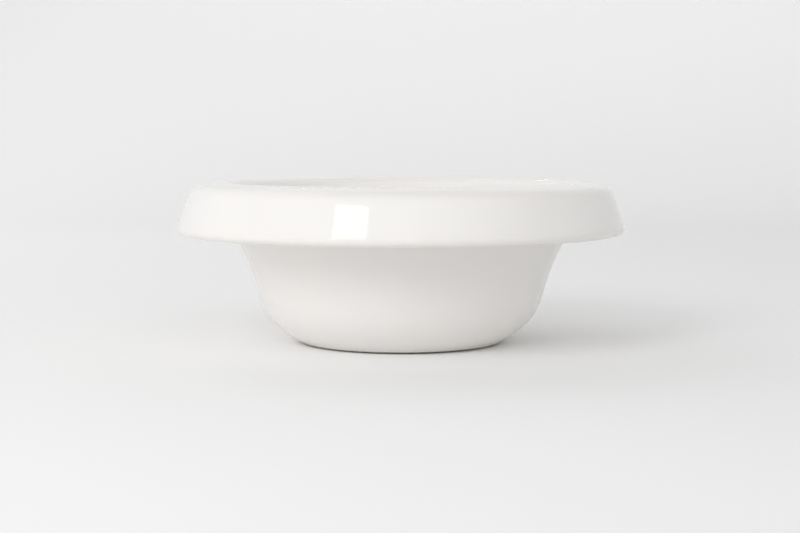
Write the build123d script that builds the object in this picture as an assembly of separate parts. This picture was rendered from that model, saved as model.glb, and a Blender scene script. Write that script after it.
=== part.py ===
from build123d import *
import os
from math import asin, atan2, cos, degrees, hypot, isclose, radians, sin, sqrt

# A one-piece pottery bowl with a flat foot and a wide brim that folds over at the mouth and hangs
# down outside. Every member is turned about +Z. The origin is the centre of the face it stands on.
# Sections are drawn as (radius, height). Lengths are in mm and angles in degrees.

# ---- driving dimensions ----
BRIM_DIAMETER = 200.0
HEIGHT = 72.2
GLAZE = 0.5  # thickness of the fired glass skin

# Outside of the bowl, from the foot upwards. Headings are measured up from level.
FOOT_RADIUS = 43.2
FOOT_HEADING = 19.7
LOWER_BELLY_RADIUS = 35.5
LOWER_BELLY_END_HEADING = 44.8
UPPER_BELLY_RADIUS = 29.0
WAIST_HEADING = 73.4
WAIST_LENGTH = 6.0
FLARE_RADIUS = 104.6
FLARE_TURN = 27.0

# Brim, from the crest of the mouth outwards and down.
CROWN_RADIUS = 44.9
CROWN_TURN = 14.6
SHOULDER_RADIUS = 6.1
SKIRT_LEAN = 19.1  # from upright
SKIRT_BOTTOM = 49.1
BRIM_THICKNESS = 5.5
BRIM_ROOT_DEPTH = 4.0  # the skirt's inner face meets the flare this far below the crest
CHANNEL_FILLET = 3.0

# Inside of the bowl.
LIP_RADIUS = 5.5
INNER_FLOOR_HEIGHT = 7.0
INNER_FLOOR_RADIUS = 34.0
INNER_BELLY_RADIUS = 27.0

# Underside of the foot. The ring is bare clay, and the glaze stops at its two radii.
RECESS_RADIUS = 36.5
RECESS_DEPTH = 2.0
RECESS_FILLET = 0.8
FOOT_EDGE_FILLET = 0.4
FOOT_RING_INNER_RADIUS = 35.0
FOOT_RING_OUTER_RADIUS = 44.5
FOOT_RING_TOP = 3.5  # the ring is let into the floor to this height

# ---- derived sizes ----
EDGE_RADIUS = BRIM_THICKNESS / 2
PAST_AXIS = 10.0  # sections run past the axis and are cut there, so that offsets leave it alone
BIG = 2 * BRIM_DIAMETER


def polar(length, angle):
    """A step of one length at one angle from level."""
    return Vector(length * cos(radians(angle)), length * sin(radians(angle)))


def rectangle(low_r, low_z, high_r, high_z):
    """A face between two corners."""
    centre = Pos((low_r + high_r) / 2, (low_z + high_z) / 2)
    return centre * Rectangle(high_r - low_r, high_z - low_z)


def closed(*curves):
    """A face inside curves that meet end to end."""
    return make_face(Curve() + list(curves))


def brim_band():
    """Section of the brim, and the crest point where its top is level."""
    edge_centre = Vector(BRIM_DIAMETER / 2 - EDGE_RADIUS, SKIRT_BOTTOM + EDGE_RADIUS)
    inner_foot = edge_centre - polar(EDGE_RADIUS, SKIRT_LEAN)
    up_skirt = 90 + SKIRT_LEAN
    shoulder_turn = 90 - SKIRT_LEAN - CROWN_TURN
    crown_drop = CROWN_RADIUS * (1 - cos(radians(CROWN_TURN)))
    shoulder_drop = SHOULDER_RADIUS * (cos(radians(CROWN_TURN)) - sin(radians(SKIRT_LEAN)))

    edge = JernArc(inner_foot, polar(1, up_skirt + 180), EDGE_RADIUS, 180)
    skirt_rise = HEIGHT - crown_drop - shoulder_drop - (edge @ 1).Y
    skirt = PolarLine(edge @ 1, skirt_rise / cos(radians(SKIRT_LEAN)), up_skirt)
    shoulder = JernArc(skirt @ 1, polar(1, up_skirt), SHOULDER_RADIUS, shoulder_turn)
    crown = JernArc(shoulder @ 1, polar(1, 180 - CROWN_TURN), CROWN_RADIUS, CROWN_TURN)
    crest = crown @ 1

    inner_rise = crest.Y - BRIM_ROOT_DEPTH - inner_foot.Y
    inner_skirt = PolarLine(inner_foot, inner_rise / cos(radians(SKIRT_LEAN)), up_skirt)
    across = Line(inner_skirt @ 1, crest)
    return closed(edge, skirt, shoulder, crown, across, inner_skirt), crest


def bowl_envelope(crest):
    """Section of the bowl as if it were solid, from below the foot to the crest."""
    toe = Vector(FOOT_RADIUS, 0) - polar(GLAZE / sin(radians(FOOT_HEADING)), FOOT_HEADING)
    start = Vector(FOOT_RADIUS, 0)
    lower_turn = LOWER_BELLY_END_HEADING - FOOT_HEADING
    upper_turn = WAIST_HEADING - LOWER_BELLY_END_HEADING

    slope = Line(toe, start)
    lower = JernArc(start, polar(1, FOOT_HEADING), LOWER_BELLY_RADIUS, lower_turn)
    upper = JernArc(lower @ 1, polar(1, LOWER_BELLY_END_HEADING), UPPER_BELLY_RADIUS, upper_turn)
    waist = PolarLine(upper @ 1, WAIST_LENGTH, WAIST_HEADING)
    flare = JernArc(waist @ 1, polar(1, WAIST_HEADING), FLARE_RADIUS, -FLARE_TURN)
    rest = Polyline(flare @ 1, crest, (-PAST_AXIS, crest.Y), (-PAST_AXIS, toe.Y), toe)
    return closed(slope, lower, upper, waist, flare, rest)


def bowl_hollow(crest):
    """Section of the space inside: a level floor, a belly arc, a straight wall and the lip."""
    belly_centre = Vector(INNER_FLOOR_RADIUS, INNER_FLOOR_HEIGHT + INNER_BELLY_RADIUS)
    lip_centre = crest - Vector(0, LIP_RADIUS)
    span = lip_centre - belly_centre
    distance = hypot(span.X, span.Y)
    both_radii = INNER_BELLY_RADIUS + LIP_RADIUS
    wall_heading = degrees(atan2(span.Y, span.X) + asin(both_radii / distance))
    wall_length = sqrt(distance**2 - both_radii**2)

    corner = Vector(INNER_FLOOR_RADIUS, INNER_FLOOR_HEIGHT)
    floor = Line((-PAST_AXIS, INNER_FLOOR_HEIGHT), corner)
    belly = JernArc(corner, (1, 0), INNER_BELLY_RADIUS, wall_heading)
    wall = PolarLine(belly @ 1, wall_length, wall_heading)
    lip = JernArc(wall @ 1, polar(1, wall_heading), LIP_RADIUS, -wall_heading)
    above = crest.Y + PAST_AXIS
    rest = Polyline(lip @ 1, (crest.X, above), (-PAST_AXIS, above), floor @ 0)
    return closed(floor, belly, wall, lip, rest)


def corner_near(section, r, z):
    """The corner of a section that lies nearest to a point."""
    return min(section.vertices(), key=lambda corner: hypot(corner.X - r, corner.Y - z))


def glazed_section():
    """Section of the finished surface, with the foot carried down by the thickness of the glaze."""
    band, crest = brim_band()
    section = bowl_envelope(crest) + band - bowl_hollow(crest)
    section -= rectangle(-PAST_AXIS, -GLAZE, RECESS_RADIUS, RECESS_DEPTH)
    root = corner_near(section, crest.X + 2 * BRIM_ROOT_DEPTH, crest.Y - BRIM_ROOT_DEPTH)
    section = fillet(root, CHANNEL_FILLET)
    return fillet(corner_near(section, RECESS_RADIUS, RECESS_DEPTH), RECESS_FILLET)


def channel_top_radius(section):
    """Radius at which the channel between the flare and the skirt is highest."""
    arcs = section.edges().filter_by(GeomType.CIRCLE)
    return next(arc.arc_center.X for arc in arcs if isclose(arc.radius, CHANNEL_FILLET))


def clay_section(surface):
    """Section of the clay: the finished surface less the glaze, rounded inside the foot."""
    clay = offset(surface, -GLAZE)
    return fillet(corner_near(clay, RECESS_RADIUS + GLAZE, 0), FOOT_EDGE_FILLET)


def sections():
    """Section of each piece, by name."""
    past_axis = rectangle(-BIG, -BIG, 0, BIG)
    surface = glazed_section()
    clay = clay_section(surface) - past_axis
    ring_place = rectangle(
        FOOT_RING_INNER_RADIUS, -BIG, FOOT_RING_OUTER_RADIUS, FOOT_RING_TOP
    )
    brim_place = rectangle(channel_top_radius(surface), -BIG, BIG, BIG)
    glaze = surface - past_axis - clay - ring_place
    patch, coat = glaze.faces().sort_by(SortBy.AREA)
    return {
        "bowl": clay - ring_place - brim_place,
        "brim": clay & brim_place,
        "foot_ring": clay & ring_place,
        "glaze_coat": coat,
        "base_glaze": patch,
    }


def main():
    os.makedirs("parts", exist_ok=True)
    for name, section in sections().items():
        piece = revolve(Plane.XZ * section, Axis.Z)
        piece.label = name
        export_step(piece, f"parts/{name}.step")


if __name__ == "__main__":
    main()
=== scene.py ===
import math

import bpy
import numpy as np
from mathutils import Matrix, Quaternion, Vector


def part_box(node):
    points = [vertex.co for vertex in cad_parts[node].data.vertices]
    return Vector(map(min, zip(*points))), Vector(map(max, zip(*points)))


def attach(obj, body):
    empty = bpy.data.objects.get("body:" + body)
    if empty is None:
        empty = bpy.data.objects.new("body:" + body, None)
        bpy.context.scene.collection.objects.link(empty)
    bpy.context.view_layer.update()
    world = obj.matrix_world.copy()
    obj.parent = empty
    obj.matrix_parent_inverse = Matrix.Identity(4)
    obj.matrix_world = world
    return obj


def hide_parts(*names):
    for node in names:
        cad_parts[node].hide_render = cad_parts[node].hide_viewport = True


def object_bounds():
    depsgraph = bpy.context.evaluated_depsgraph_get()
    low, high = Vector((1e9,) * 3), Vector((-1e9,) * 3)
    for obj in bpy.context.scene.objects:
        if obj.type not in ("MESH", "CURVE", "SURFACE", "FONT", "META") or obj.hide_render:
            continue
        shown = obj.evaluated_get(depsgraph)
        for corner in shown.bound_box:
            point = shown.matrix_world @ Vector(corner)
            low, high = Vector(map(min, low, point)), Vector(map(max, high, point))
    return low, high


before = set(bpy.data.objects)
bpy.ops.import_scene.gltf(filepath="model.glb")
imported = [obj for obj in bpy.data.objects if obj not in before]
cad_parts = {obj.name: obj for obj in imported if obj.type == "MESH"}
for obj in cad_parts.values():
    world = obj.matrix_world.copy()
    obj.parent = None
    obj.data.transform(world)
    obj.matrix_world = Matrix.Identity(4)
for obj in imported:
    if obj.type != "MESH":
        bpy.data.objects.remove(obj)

# A white glazed pottery bowl with a wide turned-down brim, standing on a pale sweep in soft light.
# Everything is in metres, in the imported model's frame: +Z up, the origin under the foot.

MM = 0.001
cad_low, cad_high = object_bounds()

# ---- the section of the glazed surface ----
GLAZE = 0.5 * MM
BRIM_OUTER = cad_high.x
HEIGHT = cad_high.z
FOOT_RADIUS = 43.2 * MM
FOOT_HEADING = 19.7
LOWER_BELLY_RADIUS = 35.5 * MM
LOWER_BELLY_END_HEADING = 44.8
UPPER_BELLY_RADIUS = 29.0 * MM
WAIST_HEADING = 73.4
WAIST_LENGTH = 6.0 * MM
FLARE_RADIUS = 104.6 * MM
CHANNEL_FILLET = 3.0 * MM
EDGE_RADIUS = 2.75 * MM
SKIRT_LEAN = 19.1
SKIRT_BOTTOM = 49.1 * MM
SHOULDER_RADIUS = 6.1 * MM
CROWN_RADIUS = 44.9 * MM
CROWN_TURN = 14.6
LIP_RADIUS = 5.5 * MM
INNER_FLOOR_HEIGHT = 7.0 * MM
INNER_FLOOR_RADIUS = 34.0 * MM
INNER_BELLY_RADIUS = 27.0 * MM

# ---- the bare foot ring and the glaze inside it ----
ring_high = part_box("foot_ring")[1]
patch_low, patch_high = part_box("base_glaze")
RING_WALL = 37.0 * MM  # the ring's inner wall, bare clay
RING_FILLET = 1.3 * MM  # between that wall and the ceiling of the recess
RING_EDGE = 0.4 * MM  # between the wall and the sole
SOLE_OUTER = 41.4 * MM
SOLE_ROUNDING = 1.6 * MM  # where the flat sole turns up into the belly
TURNING_MARK = 0.035 * MM  # the deepest mark that the turning tool left
TURNING_STEP = 0.2 * MM
MARKS_BELOW_CEILING = 0.2 * MM
MARKS_FROM_RIM = 1.0 * MM
CHATTER = 0.4  # the share of a mark's depth that varies round the ring

# ---- the hand of the maker ----
GLAZE_LINE = 44.95 * MM  # where the glaze stops above the foot
GLAZE_LINE_WANDER = 0.14 * MM
ROLL_LENGTH = 2.2 * MM  # the glaze is thicker in a roll along that line
ROLL_HEIGHT = 0.10 * MM
ROLL_ROWS = 10
UNEVENNESS = 0.02 * MM
UNEVENNESS_LENGTH = 16 * MM
LINE_FADE = 4 * ROLL_LENGTH  # the unevenness fades out this near to the glaze line
AXIS_FADE = 10 * MM
BEND_BLUR = 2.0 * MM
THIN_EDGE = 2.2 * MM  # the glaze is thinnest on an edge as tight as this radius
POOLED_HOLLOW = 4.0 * MM  # and deepest in a hollow as tight as this one

SEGMENTS = 288
FINE_STEP = 0.5 * MM
COARSE_STEP = 1.6 * MM
TIGHT_ARC = 10 * MM  # arcs under this radius get fine steps
ON_AXIS = 1e-7
INNER_EVERY = 3  # the hidden side of the skin has one row for each three of the seen side
rng = np.random.default_rng(7)


def polar(length, angle):
    """A step of one length at an angle from level, in degrees."""
    return np.array((math.cos(math.radians(angle)), math.sin(math.radians(angle)))) * length


class Pen:
    """Draws a section in (radius, height) as straight runs and arcs that follow on smoothly.
    Each point keeps its heading in degrees and the bend of the run that ends there: one over the
    radius, positive where the surface stands out and negative in a hollow."""

    def __init__(self, start, heading, coarse=COARSE_STEP, fine=FINE_STEP):
        self.at, self.heading = np.array(start, float), heading
        self.coarse, self.fine = coarse, fine
        self.points, self.headings, self.bends = [self.at], [heading], [0.0]

    def _add(self, point, heading, bend):
        self.at, self.heading = point, heading
        self.points.append(point)
        self.headings.append(heading)
        self.bends.append(bend)

    def line(self, length):
        """A straight run along the heading."""
        steps = max(1, round(length / self.coarse))
        start = self.at
        for i in range(1, steps + 1):
            self._add(start + polar(length * i / steps, self.heading), self.heading, 0.0)

    def arc(self, radius, turn):
        """An arc that turns left by a positive number of degrees, or right by a negative one."""
        side = math.copysign(1, turn)
        centre = self.at + polar(radius, self.heading + 90 * side)
        length = radius * math.radians(abs(turn))
        step = self.fine if radius < TIGHT_ARC else self.coarse
        steps = max(3, math.ceil(length / step))
        start = self.heading
        for i in range(1, steps + 1):
            heading = start + turn * i / steps
            self._add(centre - polar(radius, heading + 90 * side), heading, side / radius)

    def corner(self, heading):
        """Turn on the spot, for a sharp corner."""
        self.heading = heading


def channel_turns(waist_top, edge_inner):
    """Where the fillet under the brim leaves the flare and meets the skirt: the flare's end heading
    and the length of the skirt's inner face. The fillet's circle touches both from inside."""
    flare_centre = waist_top + polar(FLARE_RADIUS, WAIST_HEADING - 90)
    up_skirt = polar(1, 90 + SKIRT_LEAN)
    start = edge_inner - polar(CHANNEL_FILLET, SKIRT_LEAN)
    # the fillet's centre lies on a line beside the skirt, at this reach from the flare's centre
    reach = FLARE_RADIUS - CHANNEL_FILLET
    offset = start - flare_centre
    ahead = offset @ up_skirt
    length = -ahead + math.sqrt(ahead * ahead - offset @ offset + reach * reach)
    fillet_centre = start + up_skirt * length
    away = fillet_centre - flare_centre
    heading = math.degrees(math.atan2(away[1], away[0])) - 90
    return heading, length


def surface_section():
    """The glazed surface from the glaze line above the foot, over the brim and down to the axis."""
    centre = np.array((FOOT_RADIUS, 0.0)) + polar(LOWER_BELLY_RADIUS, FOOT_HEADING + 90)
    heading = math.degrees(math.asin((GLAZE_LINE - centre[0]) / LOWER_BELLY_RADIUS))
    pen = Pen(centre + polar(LOWER_BELLY_RADIUS, heading - 90), heading)
    roll = math.degrees(ROLL_LENGTH / LOWER_BELLY_RADIUS)
    pen.coarse = ROLL_LENGTH / ROLL_ROWS
    pen.arc(LOWER_BELLY_RADIUS, roll)
    pen.coarse = COARSE_STEP
    pen.arc(LOWER_BELLY_RADIUS, LOWER_BELLY_END_HEADING - heading - roll)
    pen.arc(UPPER_BELLY_RADIUS, WAIST_HEADING - LOWER_BELLY_END_HEADING)
    pen.line(WAIST_LENGTH)

    edge_centre = np.array((BRIM_OUTER - EDGE_RADIUS, SKIRT_BOTTOM + EDGE_RADIUS))
    flare_end, inner_skirt = channel_turns(pen.at, edge_centre - polar(EDGE_RADIUS, SKIRT_LEAN))
    pen.arc(FLARE_RADIUS, flare_end - WAIST_HEADING)
    pen.arc(CHANNEL_FILLET, SKIRT_LEAN - 90 - flare_end)
    pen.line(inner_skirt)
    pen.arc(EDGE_RADIUS, 180)

    crown_drop = CROWN_RADIUS * (1 - math.cos(math.radians(CROWN_TURN)))
    shoulder_drop = SHOULDER_RADIUS * (
        math.cos(math.radians(CROWN_TURN)) - math.sin(math.radians(SKIRT_LEAN))
    )
    rise = HEIGHT - crown_drop - shoulder_drop - pen.at[1]
    pen.line(rise / math.cos(math.radians(SKIRT_LEAN)))
    pen.arc(SHOULDER_RADIUS, 90 - SKIRT_LEAN - CROWN_TURN)
    pen.arc(CROWN_RADIUS, CROWN_TURN)

    belly_centre = np.array((INNER_FLOOR_RADIUS, INNER_FLOOR_HEIGHT + INNER_BELLY_RADIUS))
    lip_centre = pen.at - (0, LIP_RADIUS)
    span = lip_centre - belly_centre
    distance = np.hypot(*span)
    both = INNER_BELLY_RADIUS + LIP_RADIUS
    wall_heading = math.degrees(math.atan2(span[1], span[0]) + math.asin(both / distance))
    pen.arc(LIP_RADIUS, wall_heading)
    pen.line(math.sqrt(distance**2 - both**2))
    pen.arc(INNER_BELLY_RADIUS, -wall_heading)
    pen.line(INNER_FLOOR_RADIUS)
    return pen


def foot_ring_section():
    """The bare clay ring, closed, from its seat's inner top corner round by the sole."""
    top, ceiling = ring_high.z, patch_high.z
    pen = Pen((patch_high.x, top), -90, coarse=TURNING_STEP, fine=TURNING_STEP)
    pen.line(top - ceiling)
    pen.corner(0)
    pen.line(RING_WALL - RING_FILLET - patch_high.x)
    pen.arc(RING_FILLET, -90)
    pen.line(ceiling - RING_FILLET - RING_EDGE)
    pen.arc(RING_EDGE, 90)
    pen.line(SOLE_OUTER - pen.at[0])
    pen.arc(SOLE_ROUNDING, FOOT_HEADING)
    pen.coarse = COARSE_STEP / 2
    radius = LOWER_BELLY_RADIUS - GLAZE
    sine = (ring_high.x - pen.at[0]) / radius + math.sin(math.radians(FOOT_HEADING))
    pen.arc(radius, math.degrees(math.asin(sine)) - FOOT_HEADING)
    pen.corner(90)
    pen.line(top - pen.at[1])
    return pen


def lathe(name, points, closed=False, shift=None):
    """A mesh turned about +Z from (radius, height) points, smooth all over. A point on the axis
    becomes one vertex. shift(angles) may give each point's step in (radius, height) by angle."""
    angles = np.linspace(0, 2 * math.pi, SEGMENTS, endpoint=False)
    steps = np.zeros((len(points), SEGMENTS, 2)) if shift is None else shift(angles)
    verts, rings = [], []
    for point, step in zip(points, steps):
        if point[0] < ON_AXIS:
            rings.append([len(verts)] * SEGMENTS)
            verts.append((0.0, 0.0, point[1]))
            continue
        r, z = point[0] + step[:, 0], point[1] + step[:, 1]
        rings.append(range(len(verts), len(verts) + SEGMENTS))
        verts.extend(zip((r * np.cos(angles)).tolist(), (r * np.sin(angles)).tolist(), z.tolist()))
    faces = []
    for a, b in zip(rings, [*rings[1:], rings[0]] if closed else rings[1:]):
        for j in range(SEGMENTS):
            k = (j + 1) % SEGMENTS
            faces.append(tuple(dict.fromkeys((a[j], a[k], b[k], b[j]))))
    mesh = bpy.data.meshes.new(name)
    mesh.from_pydata(verts, [], faces)
    mesh.shade_smooth()
    piece = bpy.data.objects.new(name, mesh)
    bpy.context.scene.collection.objects.link(piece)
    return piece


def waves(angles, along, count, turns, length):
    """Smooth unevenness from 0 to 1 over angle and the distance along a section: a count of waves
    that each repeat up to a number of turns round the bowl."""
    total = np.zeros((len(along), len(angles)))
    for _ in range(count):
        ripples = rng.integers(1, turns + 1)
        phase, lean = rng.uniform(0, 2 * math.pi), rng.uniform(-1, 1)
        total += np.sin(ripples * angles[None, :] + lean * along[:, None] / length + phase)
    return (total / count + 1) / 2


# ---- glaze skin: a closed shell round the whole bowl, open only over the foot ring ----
pen = surface_section()
outer = np.array(pen.points)
headings = np.radians(pen.headings)
bends = np.array(pen.bends)
inward = np.stack([-np.sin(headings), np.cos(headings)], axis=1)
onward = np.stack([np.cos(headings), np.sin(headings)], axis=1)
along = np.concatenate([[0], np.cumsum(np.hypot(*np.diff(outer, axis=0).T))])

inner_rows = np.unique(np.r_[0:len(outer):INNER_EVERY, len(outer) - 1])[::-1]
inner = (outer + inward * GLAZE)[inner_rows]
roll_pen = Pen(inner[-1], pen.headings[0] + 180, fine=GLAZE / 8)
roll_pen.arc(GLAZE / 2, 180)
roll = np.array(roll_pen.points[1:-1])
shell = np.concatenate([inner, roll, outer])
first_outer = len(shell) - len(outer)


def skin_shift(angles):
    """The roll of glaze wanders along its line, and the surface dips by a few hundredths of a mm."""
    steps = np.zeros((len(shell), SEGMENTS, 2))
    level = waves(angles, np.zeros(1), count=9, turns=23, length=1)[0]
    wander = (level - 0.5) * 2 * GLAZE_LINE_WANDER
    near = np.clip(1 - along / ROLL_LENGTH, 0, 1)
    near = near * near * (3 - 2 * near)
    steps[first_outer:] += (near[:, None] * wander)[..., None] * onward[:, None, :]
    last_inner = len(inner) - 1
    steps[last_inner:first_outer] += wander[None, :, None] * onward[0]
    rise = np.sin(np.clip(along / ROLL_LENGTH, 0, 1) * math.pi) * ROLL_HEIGHT
    steps[first_outer:] -= (rise[:, None] * inward)[:, None, :]
    fade = np.clip(along / LINE_FADE, 0, 1) * np.clip(outer[:, 0] / AXIS_FADE, 0, 1)
    dips = waves(angles, along, count=7, turns=5, length=UNEVENNESS_LENGTH)
    dips *= fade[:, None] * UNEVENNESS
    steps[first_outer:] += dips[..., None] * inward[:, None, :]
    return steps


def blurred(values, width):
    """Values along the section, smoothed over a distance."""
    weights = np.exp(-(((along[:, None] - along[None, :]) / width) ** 2)) * np.gradient(along)
    return weights @ values / weights.sum(1)


def per_row(piece, name, rows):
    """Store one value for each ring of the shell's vertices as an attribute. A ring on the axis is
    one vertex."""
    values = []
    for point, value in zip(shell, rows):
        values.extend([value] * (1 if point[0] < ON_AXIS else SEGMENTS))
    layer = piece.data.attributes.new(name, "FLOAT", "POINT")
    layer.data.foreach_set("value", np.array(values, np.float32))


skin = lathe("glaze_skin", shell, shift=skin_shift)
bend = blurred(bends, BEND_BLUR)
hidden = np.zeros(first_outer)
per_row(skin, "thin", np.concatenate([hidden, np.clip(bend * THIN_EDGE, 0, 1)]))
per_row(skin, "pool", np.concatenate([hidden + 1, np.clip(-bend * POOLED_HOLLOW, 0, 1)]))
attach(skin, "root")
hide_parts("glaze_coat")

# ---- foot ring: bare clay, with the marks of turning on it ----
ring_pen = foot_ring_section()
ring = np.array(ring_pen.points)
ring_headings = np.radians(ring_pen.headings)
ring_inward = np.stack([-np.sin(ring_headings), np.cos(ring_headings)], axis=1)
below_ceiling = ring[:, 1] < patch_high.z - MARKS_BELOW_CEILING
marked = below_ceiling & (ring[:, 0] < ring_high.x - MARKS_FROM_RIM)


def ring_shift(angles):
    """Grooves of the turning tool, each of its own depth, with a little chatter round the ring."""
    marks = rng.uniform(0, 1, len(ring)) ** 2 * marked * TURNING_MARK
    chatter = 1 - CHATTER + CHATTER * waves(angles, np.zeros(len(ring)), count=5, turns=40, length=1)
    return (marks[:, None] * chatter)[..., None] * ring_inward[:, None, :]


foot = lathe("bare_foot_ring", ring, closed=True, shift=ring_shift)
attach(foot, "root")
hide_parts("foot_ring")

# ---- glaze in the recess: a shallow disc that thickens a little towards its rounded edge ----
PATCH_LIFT = 0.08 * MM
PATCH_SWELL_RADIUS = 60 * MM
PATCH_SWELL_TURN = 1.8
PATCH_SWELL_START = patch_high.x - 5 * MM
PATCH_WANDER = 0.12 * MM
PATCH_FINE_STEP = 0.08 * MM
patch_pen = Pen((0, patch_low.z + PATCH_LIFT), 0, fine=PATCH_FINE_STEP)
patch_pen.line(PATCH_SWELL_START)
patch_pen.arc(PATCH_SWELL_RADIUS, -PATCH_SWELL_TURN)
patch_pen.arc(PATCH_SWELL_RADIUS, PATCH_SWELL_TURN)
patch_edge = (patch_high.z - patch_pen.at[1]) / 2
patch_pen.line(patch_high.x - patch_edge - patch_pen.at[0])
patch_pen.arc(patch_edge, 180)
patch_pen.line(patch_pen.at[0])
patch = np.array(patch_pen.points)


def patch_shift(angles):
    """The edge of the glaze wanders inwards, and the middle stays where it is."""
    wander = -waves(angles, np.zeros(1), count=7, turns=15, length=1)[0] * PATCH_WANDER
    steps = np.zeros((len(patch), SEGMENTS, 2))
    steps[..., 0] = np.clip(patch[:, 0] / PATCH_SWELL_START, 0, 1)[:, None] ** 8 * wander
    return steps


base = lathe("recess_glaze", patch, shift=patch_shift)
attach(base, "root")
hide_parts("base_glaze")

# ---- materials: colours are linear, and relief is a height in metres ----
GLAZE_IOR = 1.5
GLAZE_WHITE = (0.851, 0.832, 0.817, 1)
GLAZE_CREAM = (0.857, 0.836, 0.815, 1)
GLAZE_THIN = (0.83, 0.79, 0.755, 1)  # the clay shows through a little
GLAZE_POOLED = (0.832, 0.834, 0.825, 1)
SPECK = (0.50, 0.43, 0.35, 1)
PEEL_HEIGHT = 1e-6
PIT_SPREAD = 0.7 * MM
PIT_DEPTH = 5e-6
# a faint dimple in the glaze, on the right of the front
DIMPLE_ANGLE = -55.3
DIMPLE_RADIUS = 72.3 * MM
DIMPLE_HEIGHT = 38.7 * MM
DIMPLE_SPREAD = 1.3 * MM
DIMPLE_DEPTH = 0.05 * MM

CLAY_DARK = (0.66, 0.60, 0.52, 1)
CLAY_LIGHT = (0.73, 0.68, 0.60, 1)
CLAY_GRAIN = (0.56, 0.49, 0.41, 1)
CLAY_GROG = (0.45, 0.36, 0.27, 1)
CLAY_WORN = (0.52, 0.49, 0.45, 1)
WORN_HEIGHT = 0.15 * MM
CLAY_ROUGHNESS_HEIGHT = 40e-6
GROG_HEIGHT = 15e-6

PAPER_DARK = (0.937, 0.937, 0.935, 1)
PAPER_LIGHT = (0.943, 0.943, 0.941, 1)
PAPER_ROUGHNESS = 0.9


def material(name):
    """A new material with its node tree and its shader."""
    made = bpy.data.materials.new(name)
    made.use_nodes = True
    return made, made.node_tree, made.node_tree.nodes["Principled BSDF"]


def add(tree, kind, inputs=(), **settings):
    """A node with its settings, and with inputs that are values or other nodes' outputs."""
    made = tree.nodes.new("ShaderNode" + kind)
    for name, value in settings.items():
        setattr(made, name, value)
    for name, value in dict(inputs).items():
        if isinstance(value, bpy.types.NodeSocket):
            tree.links.new(value, made.inputs[name])
        else:
            made.inputs[name].default_value = value
    return made


def noise(tree, place, scale, detail):
    """Soft noise with a scale in features a metre."""
    made = add(tree, "TexNoise", {"Vector": place, "Scale": scale, "Detail": detail})
    return made.outputs["Fac"]


def ramp(tree, value, low, high, to_low=0.0, to_high=1.0, kind="SMOOTHSTEP"):
    """Map a range of values onto another one, smoothly and clamped."""
    made = add(tree, "MapRange", interpolation_type=kind, inputs={
        "Value": value, "From Min": low, "From Max": high, "To Min": to_low, "To Max": to_high,
    })
    return made.outputs["Result"]


def blend(tree, factor, first, second):
    """Mix two colours. Sockets 6 and 7 of the node are its colours."""
    made = add(tree, "Mix", {0: factor, 6: first, 7: second}, data_type="RGBA")
    return made.outputs[2]


def times(tree, first, second):
    """The product of two values."""
    return add(tree, "Math", {0: first, 1: second}, operation="MULTIPLY").outputs[0]


def plus(tree, first, second):
    """The sum of two values."""
    return add(tree, "Math", {0: first, 1: second}, operation="ADD").outputs[0]


def spots(tree, place, scale, radius, share):
    """Rare round spots: 1 at the middle and 0 outside a radius in metres, in a share of cells."""
    cells = add(tree, "TexVoronoi", {"Vector": place, "Scale": scale})
    chosen = add(tree, "Math", {0: cells.outputs["Color"], 1: 1 - share}, operation="GREATER_THAN")
    inside = ramp(tree, cells.outputs["Distance"], 0, radius * scale, 1, 0)
    return times(tree, inside, chosen.outputs[0])


def glaze_material():
    """White glaze: hard gloss, slightly warm, thinner on the edges and deeper in the hollows."""
    made, tree, shader = material("glaze")
    place = add(tree, "TexCoord").outputs["Object"]
    mottle = ramp(tree, noise(tree, place, 28, 3), 0.35, 0.65)
    colour = blend(tree, mottle, GLAZE_WHITE, GLAZE_CREAM)
    thin = add(tree, "Attribute", attribute_name="thin").outputs["Fac"]
    pool = add(tree, "Attribute", attribute_name="pool").outputs["Fac"]
    patchy = ramp(tree, noise(tree, place, 160, 4), 0.3, 0.75, 0.2, 0.6)
    colour = blend(tree, times(tree, thin, patchy), colour, GLAZE_THIN)
    colour = blend(tree, times(tree, pool, 0.5), colour, GLAZE_POOLED)
    specks = spots(tree, place, 150, 0.22 * MM, 0.3)
    colour = blend(tree, times(tree, specks, 0.35), colour, SPECK)
    tree.links.new(colour, shader.inputs["Base Color"])
    shader.inputs["IOR"].default_value = GLAZE_IOR
    smear = ramp(tree, noise(tree, place, 70, 3), 0.4, 0.7, 0.022, 0.034)
    tree.links.new(smear, shader.inputs["Roughness"])

    # a skin like orange peel, a few pinholes that did not quite heal, and the dimple
    peel = times(tree, noise(tree, place, 230, 1), PEEL_HEIGHT)
    pits = times(tree, spots(tree, place, 110, PIT_SPREAD, 0.35), -PIT_DEPTH)
    dimple_place = (*polar(DIMPLE_RADIUS, DIMPLE_ANGLE).tolist(), DIMPLE_HEIGHT)
    away = add(tree, "VectorMath", {0: place, 1: dimple_place}, operation="DISTANCE")
    dimple = ramp(tree, away.outputs["Value"], 0, DIMPLE_SPREAD, -DIMPLE_DEPTH, 0)
    height = plus(tree, plus(tree, peel, pits), dimple)
    bump = add(tree, "Bump", {"Height": height, "Strength": 1.0, "Distance": 1.0})
    tree.links.new(bump.outputs["Normal"], shader.inputs["Normal"])
    return made


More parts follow.
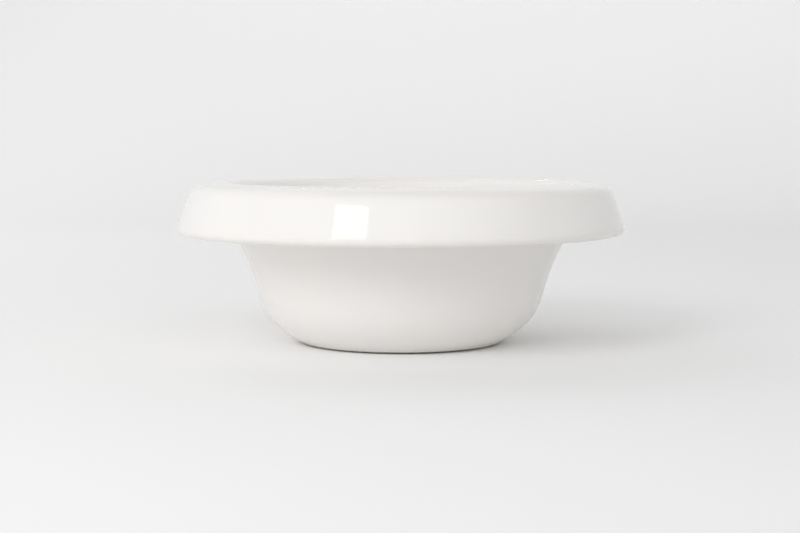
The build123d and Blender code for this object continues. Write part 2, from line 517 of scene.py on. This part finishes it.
def clay_material():
    """Fired white clay: matt, warm, grainy, a little worn and grey where it meets the table."""
    made, tree, shader = material("clay")
    place = add(tree, "TexCoord").outputs["Object"]
    cloud = ramp(tree, noise(tree, place, 60, 4), 0.3, 0.7)
    colour = blend(tree, cloud, CLAY_DARK, CLAY_LIGHT)
    grain = ramp(tree, noise(tree, place, 1400, 2), 0.45, 0.75, 0, 0.35)
    colour = blend(tree, grain, colour, CLAY_GRAIN)
    grog = spots(tree, place, 500, 0.3 * MM, 0.3)
    colour = blend(tree, times(tree, grog, 0.7), colour, CLAY_GROG)
    height = add(tree, "SeparateXYZ", {0: place}).outputs["Z"]
    worn = times(tree, ramp(tree, height, 0, WORN_HEIGHT, 1, 0), cloud)
    colour = blend(tree, times(tree, worn, 0.45), colour, CLAY_WORN)
    tree.links.new(colour, shader.inputs["Base Color"])
    dull = ramp(tree, noise(tree, place, 300, 2), 0.3, 0.7, 0.62, 0.82)
    tree.links.new(dull, shader.inputs["Roughness"])
    fine_relief = times(tree, noise(tree, place, 900, 3), CLAY_ROUGHNESS_HEIGHT)
    relief = plus(tree, fine_relief, times(tree, grog, GROG_HEIGHT))
    bump = add(tree, "Bump", {"Height": relief, "Strength": 1.0, "Distance": 1.0})
    tree.links.new(bump.outputs["Normal"], shader.inputs["Normal"])
    return made


def paper_material():
    """A matt white sweep with a barely seen tooth."""
    made, tree, shader = material("paper")
    place = add(tree, "TexCoord").outputs["Object"]
    fibre = ramp(tree, noise(tree, place, 400, 3), 0.3, 0.7)
    colour = blend(tree, fibre, PAPER_DARK, PAPER_LIGHT)
    tree.links.new(colour, shader.inputs["Base Color"])
    shader.inputs["Roughness"].default_value = PAPER_ROUGHNESS
    return made


glaze, clay, paper = glaze_material(), clay_material(), paper_material()
for piece, look in ((skin, glaze), (base, glaze), (foot, clay)):
    piece.data.materials.append(look)
for name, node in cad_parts.items():
    node.data.materials.clear()
    node.data.materials.append(glaze if name in ("base_glaze", "glaze_coat") else clay)

# ---- stage: a round sweep of paper that turns up far behind the bowl ----
SWEEP_FLOOR = 1.0
SWEEP_BEND = 0.5
SWEEP_TURN = 80
SWEEP_WALL = 0.3
SWEEP_STEP = 20 * MM
sweep_pen = Pen((0.0, 0.0), 0, coarse=SWEEP_STEP)
sweep_pen.line(SWEEP_FLOOR)
sweep_pen.arc(SWEEP_BEND, SWEEP_TURN)
sweep_pen.line(SWEEP_WALL)
sweep = lathe("sweep", np.array(sweep_pen.points))
sweep.data.materials.append(paper)

# ---- camera ----
CAMERA_LENS = 70
CAMERA_SENSOR = 36
CAMERA_DISTANCE = 0.7014
CAMERA_HEIGHT = 0.0916
CAMERA_SIDE = -0.0005
CAMERA_PITCH = 4.71
camera_data = bpy.data.cameras.new("camera")
camera_data.lens = CAMERA_LENS
camera_data.sensor_width = CAMERA_SENSOR
camera = bpy.data.objects.new("camera", camera_data)
camera.location = (CAMERA_SIDE, -CAMERA_DISTANCE, CAMERA_HEIGHT)
camera.rotation_euler = (math.radians(90 - CAMERA_PITCH), 0, 0)
bpy.context.scene.collection.objects.link(camera)
bpy.context.scene.camera = camera

# ---- light: radiances, and angles in degrees ----
LIGHT_CENTRE = 0.05  # the height that the softboxes around the bowl aim at
# azimuth, elevation, distance, width, height, radiance
SOFTBOXES = {
    "key": (-30, 28, 1.1, 0.37, 0.40, 6.60),
    "left_fill": (-90, 14, 1.0, 1.2, 0.5, 0.38),
    "left_back_fill": (-135, 35, 1.2, 1.0, 0.8, 0.67),
    "low_fill": (-45, 6, 1.0, 0.8, 0.2, 0.30),
}
TOP_PLACE = (0, 0, 0.9)
TOP_SIDE = 0.1
TOP_RADIANCE = 0.35
TOP_SPREAD = 8
MIRRORED_AZIMUTH = -26.0
MIRRORED_ELEVATION = 25.3
MIRRORED_DISTANCE = 1.1
MIRRORED_WIDTH = 0.304
MIRRORED_HEIGHT = 0.30
MIRRORED_RADIANCE = 2.3
MIRRORED_ROLL = 2
WORLD_SIDES = 0.35
WORLD_FRONT = 0.95  # this much more towards the front
WORLD_BACK = 0.64  # and this much more towards the back
DIFFUSE_BOUNCES = 8  # white glaze and white paper pass light on many times


def softbox(name, place, facing, width, height, radiance, roll=0):
    """A rectangular light that shines along facing. None of them shows to the camera."""
    data = bpy.data.lights.new(name, "AREA")
    data.shape = "RECTANGLE"
    data.size, data.size_y = width, height
    data.energy = radiance * math.pi * width * height
    light = bpy.data.objects.new(name, data)
    light.location = place
    light.rotation_mode = "QUATERNION"
    turn = Quaternion((0, 0, 1), math.radians(roll))
    light.rotation_quaternion = (-Vector(facing)).to_track_quat("Z", "Y") @ turn
    light.visible_camera = False
    bpy.context.scene.collection.objects.link(light)
    return light


def around(azimuth, elevation, distance):
    """A place around the bowl and the way back to it. Azimuth is to the right of the camera."""
    a, e = math.radians(azimuth), math.radians(elevation)
    out = Vector((math.sin(a) * math.cos(e), -math.cos(a) * math.cos(e), math.sin(e)))
    return out * distance + Vector((0, 0, LIGHT_CENTRE)), -out


for name, (azimuth, elevation, distance, width, height, radiance) in SOFTBOXES.items():
    light = softbox(name, *around(azimuth, elevation, distance), width, height, radiance)
    light.visible_glossy = False
# a narrow light from straight above fills the inside and the crown, and hardly reaches the floor
top = softbox("top_fill", TOP_PLACE, (0, 0, -1), TOP_SIDE, TOP_SIDE, TOP_RADIANCE)
top.data.spread = math.radians(TOP_SPREAD)
top.visible_glossy = False
# the one softbox that the gloss mirrors, far less bright than the key that it stands for
mirrored = softbox(
    "mirrored_softbox", *around(MIRRORED_AZIMUTH, MIRRORED_ELEVATION, MIRRORED_DISTANCE),
    MIRRORED_WIDTH, MIRRORED_HEIGHT, MIRRORED_RADIANCE, MIRRORED_ROLL,
)
mirrored.visible_diffuse = False

# a bright room, brightest in front of the bowl and behind it
world = bpy.data.worlds.new("world")
world.use_nodes = True
tree = world.node_tree
towards = add(tree, "SeparateXYZ", {0: add(tree, "TexCoord").outputs["Generated"]}).outputs["Y"]
front = ramp(tree, towards, 0, -1, 0, WORLD_FRONT, "LINEAR")
back = ramp(tree, towards, 0, 1, 0, WORLD_BACK, "LINEAR")
strength = plus(tree, plus(tree, front, back), WORLD_SIDES)
tree.links.new(strength, tree.nodes["Background"].inputs["Strength"])
tree.nodes["Background"].inputs["Color"].default_value = (1, 1, 1, 1)
bpy.context.scene.world = world
bpy.context.scene.view_settings.view_transform = "Standard"
bpy.context.scene.cycles.diffuse_bounces = DIFFUSE_BOUNCES
